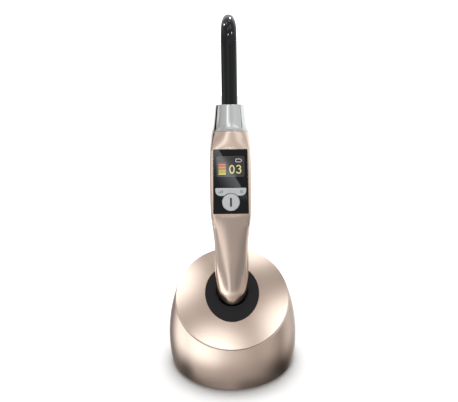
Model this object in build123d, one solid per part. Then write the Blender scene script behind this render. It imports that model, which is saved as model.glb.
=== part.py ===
from build123d import *
from collections import namedtuple
import math
import os

# Cordless dental curing light standing in its charging dock, in millimetres.
# X is to the right, Y to the back and Z up; the origin is the middle of the
# dock's foot, on the table. Heights on the handpiece are measured along its own
# leaning axis, from the middle of the socket's mouth in the dock's top.

# Dock housing
dock_radius = 43.0          # at the belly, the widest place
belly_height = 17.6
drum_height = 30.0          # where the inside starts to narrow
flank_bow = 97.0            # radius of the side's curve above the belly
skirt_bow = 100.0           # and below it
dock_wall = 2.4
top_height = 51.9           # of the slanted rim, on the dock's axis
top_tilt = 28.0
seam_drop = 0.6             # from the rim down to the seam
seam_inset = 0.2            # step that makes the seam a fine line
rim_height = 0.9            # edge of the top plate above the seam
crown_height = 3.2          # middle of the top plate above the seam
rim_bevel = 0.4
spigot_depth = 2.2
fit_gap = 0.15              # between pieces that are fixed together
shadow_gap = 0.9            # under the housing's lower edge
housing_spare = 5.0         # of the side above the crown, before it is cut

# Dock inside
cover_thickness = 2.2
pad_margin = 1.4            # from the foot pad to the screw heads
pad_recess = 0.6
boss_radius = 4.4
boss_inset = 3.2            # from the inside wall to a boss's middle
boss_count = 4
boss_height = 9.0
ballast_gap = 0.4
ballast_bevel = 0.8
spacer_height = 1.9
spacer_radius = 2.2
spacer_x = 12.0
spacer_front_y = -10.0
spacer_back_y = 23.0
board_thickness = 1.2
board_gap = 0.4
board_half_width = 16.0
board_front_y = -20.0
inlet_width = 8.94
inlet_height = 3.16
inlet_depth = 7.35
inlet_sheet = 0.3
inlet_sunk = 0.5
inlet_floor = 1.6
inlet_slot_gap = 0.3
round_trim = 0.01           # keeps round ends just short of a half circle
tongue_width = 6.7
tongue_thickness = 0.7
tongue_length = 5.0
header_width = 7.0
header_depth = 4.0
header_height = 3.0
lead_width = 5.0
lead_drop = 3.7             # from the contact block down to the header
lead_thickness = 1.0

# Socket
socket_y = -6.0
lean = 10.0
socket_bore = 10.9
collar_radius = 17.5
collar_sunk = 0.25
flange_radius = 23.0
flange_thickness = 2.0
well_wall = 1.6
well_gap = 0.5
seat_gap = 0.2
floor_thickness = 2.0
block_radius = 7.0
block_height = 5.0
skirt_depth = 3.0
pin_radius = 0.8
pin_play = 0.05
pin_proud = 0.5
pin_length = 5.6
pin_bevel = 0.32
pin_circle = 4.0
barrel_wall = 0.3
mouth_depth = 1.5           # height at which the well's straight mouth begins

# Screws
screw_radius = 1.0
screw_head_radius = 2.0
screw_head_height = 1.2
screw_grip = 3.2
screw_spare = 0.4           # of the hole beyond the screw's end
screw_play = 0.05

# Handpiece casing
cell_radius = 9.15
cell_length = 49.0
cell_nub_radius = 3.0
cell_nub_height = 0.8
cell_gap = 0.3
cell_bevel = 0.5
nub_gap = 0.05
contact_sheet = 0.5         # of the cell's upper contact
contact_rim = 2.0
contact_seat = 0.15         # how far it sits in the floor
handle_wall = 1.6
tail_length = 24.0          # from the socket's mouth down to the tail's end
plug_length = 14.0
tail_radius = 7.35
tail_taper = 1.0            # radius the plug loses towards its end
tail_bevel = 0.9
plug_shoulder = 1.1
plug_spigot_length = 13.0
contact_recess = 0.4
contact_depth = 4.0
centre_contact = 1.2        # radius of the middle contact
ring_inner = 3.0            # and of the ring round it
ring_outer = 4.9
spring_sheet = 0.35
spring_height = 2.0
spring_hole = 1.0
spring_flat = 2.6           # radius of the raised middle
spring_rim = 1.2
spring_slant = 0.2
waist_low = 35.0            # heights of the waist's two ends
waist_high = 51.0
head_half_low = 13.25       # half width of the head at the waist
head_half_middle = 13.38    # across the screen
head_middle_drop = 17.0     # from the window's top down to there
head_margin = 1.0
head_half_high = 12.8       # and above the window
head_front = 12.7           # axis to the flat front
head_back = 12.6
face_crown = 0.15
face_margin = 4.0           # from the waist and the top to where the front is cut flat
window_low = 53.0
window_high = 93.1
window_half_low = 11.15
window_half_high = 10.55
window_corner = 0.6
body_top = 104.2
collar_top_radius = 11.7
head_wall = 1.2
shell_floor = 4.5           # bottom of the cell's bore

# Nose
nose_top = 120.5
nose_flare = 3.2
nose_step = 1.5             # radius the nose loses in its flare
nose_draft = 1.24           # and from there to its top
nose_lip = 1.0
nose_spigot = 5.0
spigot_wall = 1.9
nose_edge = 0.35
nose_band = 0.3             # plain band at the foot of the flare
flare_share = 0.45          # height of the flare's knee
flare_bow = 0.5
mouth_play = 0.3            # round the guide
nose_seal_height = 1.0
nose_seal_gap = 0.1

# Light guide
guide_radius = 4.9
guide_tip_radius = 4.0
sheath_wall = 0.6
guide_depth = 8.0           # how far the guide goes into the nose
guide_straight = 35.5       # from the nose to the bend
bend_radius = 18.0
bend_angle = 60.0
taper_angle = 35.0          # place in the bend where the guide starts to narrow
tip_length = 7.0
tip_bare = 1.6              # bare glass at the tip
glass_bevel = 0.5
ferrule_length = 7.0
bush_wall = 2.0
bush_play = 0.05
seal_thickness = 1.1
seal_play = 0.03
seal_count = 2
seal_pitch = 2.6
seal_bevel = 0.3

# Light engine
sink_length = 14.5
sink_gap = 0.2
sink_seat = 0.1
sink_groove = 1.6
sink_grooves = 4
sink_groove_depth = 2.2
led_board_thickness = 1.4
emitter_side = 3.5
emitter_height = 0.8
dome_radius = 1.6
reflector_height = 4.2
reflector_mouth = 4.7
reflector_throat = 2.6

# Window, keys and boards
panel_thickness = 1.2
board_stack = 2.9           # from the window's back to the main board
panel_gap = 0.1
ledge = 0.9
screen_centre = 82.7
screen_half_width = 8.9
screen_half_height = 7.2
screen_gap = 0.1
touch_gap = 0.05            # between stacked keys, membrane and switches
key_gap = 0.25
key_proud = 0.6
button_centre = 60.3
button_radius = 5.47
button_travel = 0.4
button_lip = 0.7
bar_low = 64.3
bar_high = 69.2
bar_half_width = 9.6
bar_corner = 3.2
bar_top_corner = 0.5
key_bevel = 0.25
bar_depth = 1.5
rib_half_width = 0.8        # the bar rocks on the rib's round end
rib_gap = 0.4
keeper_half_width = 2.5     # tongue that holds the bar behind the window
keeper_reach = 0.8
keeper_gap = 0.2
membrane_thickness = 0.4
membrane_half_width = 9.3
membrane_over = 1.5         # above the mode bar
switch_side = 3.5
switch_height = 1.1
switch_body = 0.88          # height without the plunger
plunger_radius = 0.9
switch_bar_x = 6.4
main_board_thickness = 1.0
main_board_margin = 0.55    # from the board's edge to the opening's side
chassis_wall = 1.4
chassis_gap = 0.2
buzzer_height = 2.4
buzzer_gap = 0.6
chip_height = 1.0
chip_gap = 0.5              # from a chip to the chassis
chip_lengths = (7.0, 4.0)
chip_spacing = 2.0

# Places that follow from the sizes above
tilt = math.radians(top_tilt)
lean_angle = math.radians(lean)
slope = math.tan(tilt)


def side_radius(height, inset=0.0):
    # Radius of the dock's side, or of a surface inset from it, at a height.
    bow = flank_bow if height > belly_height else skirt_bow
    reach = bow - inset
    return dock_radius - bow + math.sqrt(reach ** 2 - (height - belly_height) ** 2)


def rim_reach(side):
    # Where the slanted rim meets the side, at the front (-1) or the back (+1).
    y = side * dock_radius
    for _ in range(30):
        y = side * side_radius(top_height + y * slope)
    return y


rim_front = rim_reach(-1)
rim_back = rim_reach(1)
rim_middle_y = (rim_front + rim_back) / 2
rim_half_length = (rim_back - rim_front) / 2 / math.cos(tilt)
normal = Vector(0, -math.sin(tilt), math.cos(tilt))
rim_middle = Vector(0, rim_middle_y, top_height + rim_middle_y * slope)
rise = crown_height - rim_height
crown_radius = (rim_half_length ** 2 + rise ** 2) / (2 * rise)
seam_plane = Plane(origin=rim_middle - normal * seam_drop, x_dir=(1, 0, 0), z_dir=normal)
crown_centre = seam_plane.from_local_coords(Vector(0, 0, crown_height - crown_radius))
plate_under = seam_plane.offset(-spigot_depth)
flange_under = plate_under.offset(-flange_thickness)
housing_top = top_height + rim_back * slope + crown_height + housing_spare

socket_z = top_height + socket_y * slope + (crown_height - seam_drop) / math.cos(tilt)
socket = Location((0, socket_y, socket_z), (-lean, 0, 0))
tail_end = -tail_length
plug_top = tail_end + plug_length
plug_spigot = tail_radius - plug_shoulder
plug_spigot_top = plug_top + plug_spigot_length
well_floor = tail_end - seat_gap
block_top = well_floor - floor_thickness
block_bottom = block_top - block_height

cover_bottom = shadow_gap
cover_top = cover_bottom + cover_thickness
cavity_radius = side_radius(shadow_gap, dock_wall)
cavity_top = top_height + rim_back * slope
cover_radius = cavity_radius - fit_gap
boss_circle = cavity_radius - boss_inset
pad_radius = boss_circle - screw_head_radius - screw_play - pad_margin
ballast_radius = boss_circle - boss_radius - ballast_gap
header_top = socket_z + block_bottom * math.cos(lean_angle) - lead_drop
board_top = header_top - header_height
board_bottom = board_top - board_thickness
ballast_top = board_bottom - spacer_height
inlet_z = board_top + inlet_height / 2
inlet_mouth_y = side_radius(inlet_z) - inlet_sunk

handle_half = cell_radius + cell_gap + handle_wall
cell_bottom = shell_floor + spring_height
cell_top = cell_bottom + cell_length
cell_contact_low = cell_top + cell_nub_height + nub_gap
cell_contact_top = cell_contact_low + contact_sheet
head_floor = cell_contact_low + contact_seat
panel_back = -head_front + panel_thickness
board_front = panel_back + board_stack
membrane_back = board_front - switch_height - touch_gap
membrane_front = membrane_back - membrane_thickness
button_back = membrane_front - button_travel - touch_gap
rib_tip = membrane_front - touch_gap
opening_half = bar_half_width + key_gap
chassis_top = window_high - ledge
sink_bottom = chassis_top + sink_seat
sink_top = sink_bottom + sink_length
led_board_top = sink_top + led_board_thickness
reflector_top = led_board_top + reflector_height
guide_bottom = nose_top - guide_depth
bush_radius = guide_radius + bush_play + bush_wall
bush_top = nose_top - nose_lip - bush_play
bush_bottom = reflector_top + bush_play
head_cavity = collar_top_radius - head_wall
nose_cavity = head_cavity - fit_gap - spigot_wall
nose_flare_radius = collar_top_radius - nose_step
nose_top_radius = nose_flare_radius - nose_draft
sink_radius = nose_cavity - sink_gap
main_board_half_width = opening_half - main_board_margin
main_board_back = board_front + main_board_thickness
chassis_radius = head_cavity - chassis_gap
chassis_chord = math.sqrt((chassis_radius - chassis_wall) ** 2 - main_board_back ** 2)
buzzer_radius = chassis_chord - buzzer_gap
rib_axis = rib_tip - rib_half_width
bend_start = nose_top + guide_straight
over = 1.0                  # how far cuts run past the surface that they open
beyond = 2 * dock_radius    # longer than anything that a cut passes through


def half_turn(points):
    # Solid of revolution about the Z axis from (radius, height) points.
    return revolve(Plane.XZ * make_face(Polyline(*points, close=True)), Axis.Z)


def disc(radius, low, high, hole=0.0):
    # Disc or ring about the Z axis between two heights.
    plate = Pos(0, 0, (low + high) / 2) * Cylinder(radius, high - low)
    if hole:
        plate -= Pos(0, 0, (low + high) / 2) * Cylinder(hole, high - low + 2)
    return plate


def block(x_half, front, back, low, high):
    # Box centred on X, from front to back and low to high.
    size = (2 * x_half, back - front, high - low)
    return Pos(0, (front + back) / 2, (low + high) / 2) * Box(*size)


def housing(inset, low, high):
    # Solid inside the dock's barrel-shaped side, inset from its surface.
    def at(height):
        return (side_radius(height, inset), height)

    outline = [
        Line((0, low), at(low)),
        ThreePointArc(at(low), at((low + belly_height) / 2), at(belly_height)),
        ThreePointArc(at(belly_height), at((high + belly_height) / 2), at(high)),
        Line(at(high), (0, high)),
        Line((0, high), (0, low)),
    ]
    return revolve(Plane.XZ * make_face(outline), Axis.Z)


def cavity(gap):
    # Space inside the dock's wall: a drum below and a cone above, for easy moulding.
    drum = cavity_radius - gap
    top = side_radius(cavity_top, dock_wall) - gap
    return half_turn([(0, shadow_gap - over), (drum, shadow_gap - over), (drum, drum_height),
                      (top, cavity_top), (0, cavity_top)])


def crown(sunk=0.0):
    # Ball whose top is the top plate's crowned surface.
    return Pos(*crown_centre) * Sphere(crown_radius - sunk)


def four_corners(radius):
    # Places of the four bosses and screws round the dock's cover.
    return PolarLocations(radius, boss_count, start_angle=180 / boss_count)


def flange_screw_places():
    # Three places round the socket's flange, on the plate's underside.
    across = (collar_radius + flange_radius) / 2
    along = across / math.cos(tilt + lean_angle)
    mouth = plate_under.to_local_coords(socket.position)
    middle = mouth.Y - mouth.Z * math.tan(tilt + lean_angle)
    for angle in (0, 180, 270):
        x = across * math.cos(math.radians(angle))
        y = middle + along * math.sin(math.radians(angle))
        yield plate_under * Pos(x, y, 0)


# Dock

def make_base_shell():
    shell = split(housing(0, shadow_gap, housing_top), bisect_by=seam_plane, keep=Keep.BOTTOM)
    hollow = cavity(0)
    column = disc(boss_radius, cover_top, cover_top + boss_height)
    hollow -= [place * column for place in four_corners(boss_circle)]
    shell -= hollow
    pilot = disc(screw_radius + screw_play, cover_top - over, cover_top + screw_grip + over)
    shell -= [place * pilot for place in four_corners(boss_circle)]
    slot = RectangleRounded(
        inlet_width + 2 * inlet_slot_gap,
        inlet_height + 2 * inlet_slot_gap,
        inlet_height / 2 + inlet_slot_gap - round_trim,
    )
    opening = extrude(Plane.XZ * slot, amount=-beyond)
    return shell - Pos(0, 0, inlet_z) * opening


def make_top_plate():
    cap = split(housing(seam_inset, 0, housing_top), bisect_by=seam_plane, keep=Keep.TOP)
    cap &= crown()
    rim = cap.edges().sort_by(Axis(seam_plane.origin, seam_plane.z_dir))[-1]
    cap = chamfer(rim, rim_bevel)
    spigot = split(cavity(fit_gap), bisect_by=seam_plane, keep=Keep.BOTTOM)
    spigot = split(spigot, bisect_by=plate_under, keep=Keep.TOP)
    plate = cap + spigot
    plate -= socket * disc(collar_radius + fit_gap, -beyond, beyond)
    pilot = disc(screw_radius + screw_play, -over, screw_grip - flange_thickness + screw_spare)
    plate -= [place * pilot for place in flange_screw_places()]
    return plate


def make_socket_collar():
    ring = socket * disc(collar_radius, -beyond, beyond, hole=socket_bore)
    ring = split(ring, bisect_by=plate_under, keep=Keep.TOP)
    return ring & crown(collar_sunk)


def make_socket_well():
    flange = socket * disc(flange_radius, -beyond, beyond)
    flange = split(flange, bisect_by=plate_under, keep=Keep.BOTTOM)
    flange = split(flange, bisect_by=flange_under, keep=Keep.TOP)
    neck = tail_radius + well_gap
    foot = tail_radius - tail_taper + well_gap
    outside = half_turn([
        (0, block_top - skirt_depth),
        (block_radius + fit_gap + well_wall, block_top - skirt_depth),
        (block_radius + fit_gap + well_wall, well_floor),
        (neck + well_wall, plug_top),
        (socket_bore + well_wall, mouth_depth),
        (socket_bore + well_wall, beyond),
        (0, beyond),
    ])
    outside = split(socket * outside, bisect_by=plate_under, keep=Keep.BOTTOM)
    bore = half_turn([
        (0, well_floor),
        (foot, well_floor),
        (neck, plug_top),
        (socket_bore, mouth_depth),
        (socket_bore, beyond),
        (0, beyond),
    ])
    well = outside + flange - socket * bore
    well -= socket * disc(block_radius + fit_gap, block_top - skirt_depth - over, block_top)
    drill = disc(pin_radius + pin_play, block_top - over, well_floor + over)
    well -= [socket * Pos(x, 0, 0) * drill for x in pin_places()]
    shank = disc(screw_radius + screw_play, -flange_thickness - over, over)
    return well - [place * shank for place in flange_screw_places()]


def pin_places():
    return (-pin_circle, 0, pin_circle)


def make_well_screws():
    head = disc(screw_head_radius, -flange_thickness - screw_head_height, -flange_thickness)
    screw = head + disc(screw_radius, -flange_thickness, screw_grip - flange_thickness)
    return Compound([(place * screw).solid() for place in flange_screw_places()])


def make_contact_block():
    body = disc(block_radius, block_bottom, block_top)
    drill = disc(pin_radius + pin_play + barrel_wall, block_bottom - over, block_top + over)
    body -= [Pos(x, 0, 0) * drill for x in pin_places()]
    return socket * body


def make_pin_barrels():
    outer = pin_radius + pin_play + barrel_wall
    barrel = disc(outer, block_bottom, block_top, hole=pin_radius + pin_play)
    barrel += disc(outer, block_bottom, block_bottom + barrel_wall)
    return Compound([(socket * Pos(x, 0, 0) * barrel).solid() for x in pin_places()])


def make_contact_pins():
    top = well_floor + pin_proud
    pin = disc(pin_radius, top - pin_length, top)
    pin = chamfer(pin.edges().sort_by(Axis.Z)[-1], pin_bevel)
    return Compound([(socket * Pos(x, 0, 0) * pin).solid() for x in pin_places()])


def make_contact_lead():
    # Flat lead from the contact block straight down into the board's header.
    lead = socket * block(lead_width / 2, -lead_thickness / 2, lead_thickness / 2,
                          block_bottom - 2 * lead_drop, block_bottom)
    return split(lead, bisect_by=Plane.XY.offset(header_top), keep=Keep.TOP)


def header_y():
    # Where the contact block's axis meets the top of the board's header.
    return socket_y - (socket_z - header_top) * math.tan(lean_angle)


def make_board_header():
    middle = header_y()
    return block(header_width / 2, middle - header_depth / 2, middle + header_depth / 2,
                 board_top, header_top)


def make_charge_board():
    plate = block(board_half_width, board_front_y, beyond, board_bottom, board_top)
    return plate & disc(cavity_radius - board_gap, 0, housing_top)


def spacer_places():
    for x in (-spacer_x, spacer_x):
        for y in (spacer_front_y, spacer_back_y):
            yield Pos(x, y, 0)


def make_board_spacers():
    spacer = disc(spacer_radius, ballast_top, board_bottom)
    return Compound([(place * spacer).solid() for place in spacer_places()])


def inlet_body(inset, depth):
    round_end = inlet_height / 2 - inset - round_trim
    face = RectangleRounded(inlet_width - 2 * inset, inlet_height - 2 * inset, round_end)
    body = extrude(Plane.XZ * face, amount=depth)
    return Pos(0, inlet_mouth_y, inlet_z) * body


def make_power_inlet():
    hollow = inlet_body(inlet_sheet, inlet_depth - inlet_floor + over)
    return inlet_body(0, inlet_depth) - Pos(0, over, 0) * hollow


def make_inlet_tongue():
    back = inlet_mouth_y - inlet_depth + inlet_floor
    half = tongue_thickness / 2
    tongue = block(tongue_width / 2, back, back + tongue_length, inlet_z - half, inlet_z + half)
    return tongue


def make_ballast():
    weight = disc(ballast_radius, cover_top, ballast_top)
    return chamfer(weight.edges().filter_by(GeomType.CIRCLE), ballast_bevel)


def make_base_cover():
    cover = disc(cover_radius, cover_bottom, cover_top)
    cover -= disc(pad_radius + fit_gap, cover_bottom - over, cover_bottom + pad_recess)
    shank = disc(screw_radius + screw_play, cover_bottom - over, cover_top + over)
    head = disc(screw_head_radius + screw_play, cover_bottom - over, cover_bottom + screw_head_height)
    cover -= [place * shank for place in four_corners(boss_circle)]
    return cover - [place * head for place in four_corners(boss_circle)]


def make_cover_screws():
    screw = disc(screw_head_radius, cover_bottom, cover_bottom + screw_head_height)
    screw += disc(screw_radius, cover_bottom, cover_top + screw_grip)
    return Compound([(place * screw).solid() for place in four_corners(boss_circle)])


def make_foot_pad():
    return disc(pad_radius, 0, cover_bottom + pad_recess)


# Handpiece casing

Station = namedtuple("Station", "height half_width front back face_half face_crown corner")


def section(station):
    # Cross-section of the body: a nearly flat front, two corners and a round back.
    face = station.face_half
    dip = station.face_crown
    edge = (face, dip - station.front)
    turn = 2 * math.atan(dip / face)
    pull = (1 - (dip / face) ** 2) / 1.5
    peak = (0, edge[1] - face * math.tan(turn))
    side = (station.half_width, 0)
    corner = (side[0], edge[1] + (side[0] - face) * math.tan(turn))
    back = (0, station.back)
    heel = (station.half_width, station.back)
    round_back = 0.5523

    def between(start, end, share):
        return tuple(a + (b - a) * share for a, b in zip(start, end))

    def mirrored(points):
        return [(-x, y) for x, y in reversed(points)]

    front_right = [edge, between(edge, corner, station.corner),
                   between(side, corner, station.corner), side]
    back_right = [side, between(side, heel, round_back), between(back, heel, round_back), back]
    left_edge = (-face, edge[1])
    front = [left_edge, between(left_edge, peak, pull), between(edge, peak, pull), edge]
    curves = [front, front_right, back_right, mirrored(back_right), mirrored(front_right)]
    outline = [Bezier(*points) for points in curves]
    return Pos(0, 0, station.height) * make_face(outline)


def round_station(height, radius):
    quarter = math.radians(45)
    face = radius * math.sin(quarter)
    return Station(height, radius, radius, radius, face, radius - face, 0.64)


def body_stations():
    head = body_top - window_high
    waist = waist_high - waist_low
    flat = head_front + face_crown
    tail = plug_top
    return [
        round_station(tail, tail_radius),
        Station(tail + 11.5, 0.88 * handle_half, 9.6, 9.65, 6.5, 1.7, 0.64),
        Station(tail + 26.5, 0.99 * handle_half, 10.75, 10.8, 7.7, 1.2, 0.65),
        Station(waist_low - 3, handle_half, 10.9, 10.95, 8.4, 0.9, 0.66),
        Station(waist_low + 0.5 * waist, 12.18, 11.65, 11.5, 9.4, 0.6, 0.7),
        Station(waist_high + head_margin, head_half_low, flat, 12.4, 11.1, 0.2, 0.74),
        Station(window_high - head_middle_drop, head_half_middle, flat, head_back, 11.0, face_crown, 0.75),
        Station(window_high - head_margin, head_half_high, flat, head_back, 10.7, face_crown, 0.75),
        Station(window_high + 0.6 * head, 12.3, 12.3, 12.2, 9.1, 1.9, 0.67),
        round_station(body_top, collar_top_radius),
    ]


def window_outline(gap=0.0):
    # Slightly tapered window, seen from the front: x across, y along the body.
    low = window_low - gap
    high = window_high + gap
    low_half = window_half_low + gap
    high_half = window_half_high + gap
    frame = Polyline((-low_half, low), (low_half, low), (high_half, high), (-high_half, high),
                     close=True)
    face = make_face(frame)
    return fillet(face.vertices(), window_corner)


def front_slab(face, front, back):
    # Slab with this outline seen from the front, between two depths.
    return extrude(Plane.XZ.offset(-back) * face, amount=back - front)


def make_body_shell():
    body = loft([section(station) for station in body_stations()])
    body -= block(beyond, -beyond, -head_front, waist_high - face_margin, body_top - face_margin)
    body -= front_slab(window_outline(panel_gap), -beyond, panel_back + touch_gap)
    body -= block(opening_half, -head_front - over, 0, window_low + ledge, window_high - ledge)
    body -= disc(head_cavity, head_floor, body_top + over)
    body -= disc(cell_radius + cell_gap, shell_floor, head_floor + over)
    body -= disc(plug_spigot + fit_gap, plug_top - over, shell_floor + over)
    return socket * body


def make_tail_plug():
    foot = tail_radius - tail_taper
    plug = half_turn([(0, tail_end), (foot, tail_end), (tail_radius, plug_top), (0, plug_top)])
    plug = chamfer(plug.edges().filter_by(GeomType.CIRCLE).sort_by(Axis.Z)[0], tail_bevel)
    plug += disc(plug_spigot, plug_top, plug_spigot_top)
    plug -= disc(centre_contact, tail_end - over, tail_end + contact_depth)
    plug -= disc(ring_outer, tail_end - over, tail_end + contact_depth, hole=ring_inner)
    return socket * plug


def make_tail_contacts():
    low = tail_end + contact_recess
    pad = disc(centre_contact, low, tail_end + contact_depth)
    ring = disc(ring_outer, low, tail_end + contact_depth, hole=ring_inner)
    return Compound([(socket * pad).solid(), (socket * ring).solid()])


def make_cell_spring():
    # Sprung steel contact under the cell: a dished washer with a raised middle.
    low = plug_spigot_top
    under = cell_bottom - spring_sheet
    over = low + spring_sheet
    rim = plug_spigot - fit_gap
    knee = rim - spring_rim
    outline = [(spring_hole, under), (spring_flat, under), (knee, low), (rim, low), (rim, over),
               (knee + spring_slant, over), (spring_flat + spring_slant, cell_bottom),
               (spring_hole, cell_bottom)]
    return socket * half_turn(outline)


def make_battery_cell():
    can = disc(cell_radius, cell_bottom, cell_top)
    can = chamfer(can.edges().filter_by(GeomType.CIRCLE), cell_bevel)
    return socket * (can + disc(cell_nub_radius, cell_top - over, cell_top + cell_nub_height))


def make_cell_contact():
    return socket * disc(cell_nub_radius + contact_rim, cell_contact_low, cell_contact_top)


# Nose and light guide

def make_nose_cone():
    foot = body_top - nose_spigot
    spigot = head_cavity - fit_gap
    shoulder = bush_bottom - bush_play
    mouth = guide_radius + mouth_play
    bore = bush_radius + bush_play
    return socket * half_turn([
        (nose_cavity, foot),
        (spigot, foot),
        (spigot, body_top),
        (collar_top_radius, body_top),
        (collar_top_radius, body_top + nose_band),
        (nose_flare_radius + flare_bow, body_top + nose_flare * flare_share),
        (nose_flare_radius, body_top + nose_flare),
        (nose_top_radius, nose_top - nose_edge),
        (nose_top_radius - nose_edge, nose_top),
        (mouth, nose_top),
        (mouth, nose_top - nose_lip),
        (bore, nose_top - nose_lip),
        (bore, shoulder),
        (nose_cavity, shoulder),
    ])


def make_nose_seal():
    # Rubber ring squeezed between the nose's spigot and the body, low on the spigot.
    high = body_top - nose_spigot
    outer = head_cavity - nose_seal_gap
    inner = nose_cavity + nose_band
    return socket * disc(outer, high - nose_seal_height, high, hole=inner)


def seal_heights():
    middle = (bush_top + guide_bottom) / 2
    for index in range(seal_count):
        yield middle + (index - (seal_count - 1) / 2) * seal_pitch


def make_guide_bush():
    bush = disc(bush_radius, bush_bottom, bush_top, hole=guide_radius + bush_play)
    for height in seal_heights():
        half = seal_thickness / 2 + bush_play
        outer = guide_radius + seal_play + seal_thickness + bush_play
        bush -= disc(outer, height - half, height + half)
    return socket * bush


def make_guide_seals():
    inner = guide_radius + seal_play
    half = seal_thickness / 2
    ring = disc(inner + seal_thickness, -half, half, hole=inner)
    ring = chamfer(ring.edges().filter_by(GeomType.CIRCLE), seal_bevel)
    return Compound([(socket * Pos(0, 0, height) * ring).solid() for height in seal_heights()])


def bend_place(angle):
    # Place on the guide's bent line, with Z along it, after a part of the bend.
    turn = math.radians(angle)
    back = bend_radius * (1 - math.cos(turn))
    up = bend_start + bend_radius * math.sin(turn)
    return Location((0, back, up), (-angle, 0, 0))


def bent_rod(inset, start, end_length):
    # Rod that runs up to the bend, narrows in the bend's last part, then runs straight.
    wide = guide_radius - inset
    narrow = guide_tip_radius - inset
    rod = disc(wide, start, bend_start)
    middle = Plane.YZ * Pos(bend_radius, bend_start)
    bend = sweep(bend_place(0) * Circle(wide).face(),
                 path=middle * CenterArc((0, 0), bend_radius, 180, -taper_angle))
    bend += sweep([bend_place(taper_angle) * Circle(wide).face(),
                   bend_place(bend_angle) * Circle(narrow).face()],
                  path=middle * CenterArc((0, 0), bend_radius, 180 - taper_angle,
                                          taper_angle - bend_angle),
                  multisection=True)
    return rod + bend + bend_place(bend_angle) * disc(narrow, 0, end_length)


def make_light_guide():
    rod = bent_rod(sheath_wall, guide_bottom, tip_length + tip_bare)
    end = rod.faces().sort_by(Axis(bend_place(bend_angle).position, tip_direction()))[-1]
    return socket * chamfer(end.edges(), glass_bevel)


def tip_direction():
    turn = math.radians(bend_angle)
    return (0, math.sin(turn), math.cos(turn))


def make_guide_sheath():
    ferrule_top = guide_bottom + ferrule_length
    outside = bent_rod(0, ferrule_top, tip_length)
    inside = bent_rod(sheath_wall, ferrule_top - over, tip_length + over)
    return socket * (outside - inside)


def make_guide_ferrule():
    high = guide_bottom + ferrule_length
    ferrule = disc(guide_radius, guide_bottom, high, hole=guide_radius - sheath_wall)
    return socket * ferrule


# Light engine

def make_heat_sink():
    sink = disc(sink_radius, sink_bottom, sink_top)
    pitch = sink_length / (sink_grooves + 1)
    for index in range(sink_grooves):
        middle = sink_bottom + pitch * (index + 1)
        groove = disc(sink_radius + over, middle - sink_groove / 2, middle + sink_groove / 2,
                      hole=sink_radius - sink_groove_depth)
        sink -= groove
    return socket * sink


def make_led_board():
    return socket * disc(sink_radius, sink_top, led_board_top)


def make_led_emitter():
    half = emitter_side / 2
    base = block(half, -half, half, led_board_top, led_board_top + emitter_height)
    dome = Pos(0, 0, led_board_top + emitter_height) * Sphere(dome_radius)
    dome &= block(half, -half, half, led_board_top + emitter_height - touch_gap, reflector_top)
    return socket * (base + dome)


def make_reflector():
    cup = disc(sink_radius, led_board_top, reflector_top)
    floor = led_board_top + emitter_height
    hollow = half_turn([
        (0, led_board_top - over),
        (reflector_throat, led_board_top - over),
        (reflector_throat, floor),
        (reflector_mouth, reflector_top),
        (reflector_mouth, reflector_top + over),
        (0, reflector_top + over),
    ])
    return socket * (cup - hollow)


# Window, keys and electronics

def button_face(gap=0.0):
    return Pos(0, button_centre) * Circle(button_radius + gap).face()


def bar_face(gap=0.0):
    # The mode bar: square shoulders above, round ends below.
    half = bar_half_width + gap
    low = bar_low - gap
    high = bar_high + gap
    middle = (low + high) / 2
    bar = make_face(Polyline((-half, low), (half, low), (half, high), (-half, high), close=True))
    lower = [corner for corner in bar.vertices() if corner.Y < middle]
    bar = fillet(lower, bar_corner + gap)
    return fillet(bar.vertices().sort_by(Axis.Y)[-2:], bar_top_corner)


def make_window_panel():
    panel = front_slab(window_outline(), -head_front, panel_back)
    panel -= front_slab(button_face(key_gap), -beyond, 0)
    return socket * (panel - front_slab(bar_face(key_gap), -beyond, 0))


def make_display_module():
    back = board_front - touch_gap
    low = screen_centre - screen_half_height
    high = screen_centre + screen_half_height
    return socket * block(screen_half_width, panel_back + screen_gap, back, low, high)


def make_power_button():
    front = -head_front - key_proud
    cap = front_slab(button_face(), front, button_back)
    cap = chamfer(cap.faces().sort_by(Axis.Y)[0].edges(), key_bevel)
    lip = front_slab(button_face(button_lip), panel_back + touch_gap, button_back)
    lip -= block(beyond, -beyond, 0, button_centre + over, button_centre + beyond)
    return socket * (cap + lip)


def make_mode_rocker():
    front = -head_front - key_proud
    bar = front_slab(bar_face(), front, front + bar_depth + key_proud)
    bar -= front_slab(button_face(key_gap), -beyond, 0)
    edges = bar.faces().sort_by(Axis.Y)[0].edges()
    bar = chamfer(edges, key_bevel)
    rib_low = button_centre + button_radius + key_gap + rib_gap
    rib_high = bar_high - rib_gap
    rib = block(rib_half_width, front + bar_depth, rib_axis, rib_low, rib_high)
    rib += Pos(0, rib_axis, 0) * disc(rib_half_width, rib_low, rib_high)
    keeper = block(keeper_half_width, panel_back + keeper_gap, rib_tip - keeper_gap,
                   bar_high - over, bar_high + keeper_reach)
    return socket * (bar + rib + keeper)


def make_keypad_membrane():
    low = button_centre - button_radius
    sheet = block(membrane_half_width, membrane_front, membrane_back, low, bar_high + membrane_over)
    return socket * sheet


def switch_places():
    bar_middle = (bar_low + bar_high) / 2
    return ((0, button_centre), (-switch_bar_x, bar_middle), (switch_bar_x, bar_middle))


def make_tact_switches():
    half = switch_side / 2
    switches = []
    for x, height in switch_places():
        switch = block(half, board_front - switch_body, board_front,
                       height - half, height + half)
        plunger = Pos(0, board_front - switch_height / 2, height) * Rot(90, 0, 0)
        switch += plunger * Cylinder(plunger_radius, switch_height)
        switches.append((socket * Pos(x, 0, 0) * switch).solid())
    return Compound(switches)


def make_main_board():
    low = head_floor + main_board_margin
    return socket * block(main_board_half_width, board_front, main_board_back, low, chassis_top)


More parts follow.
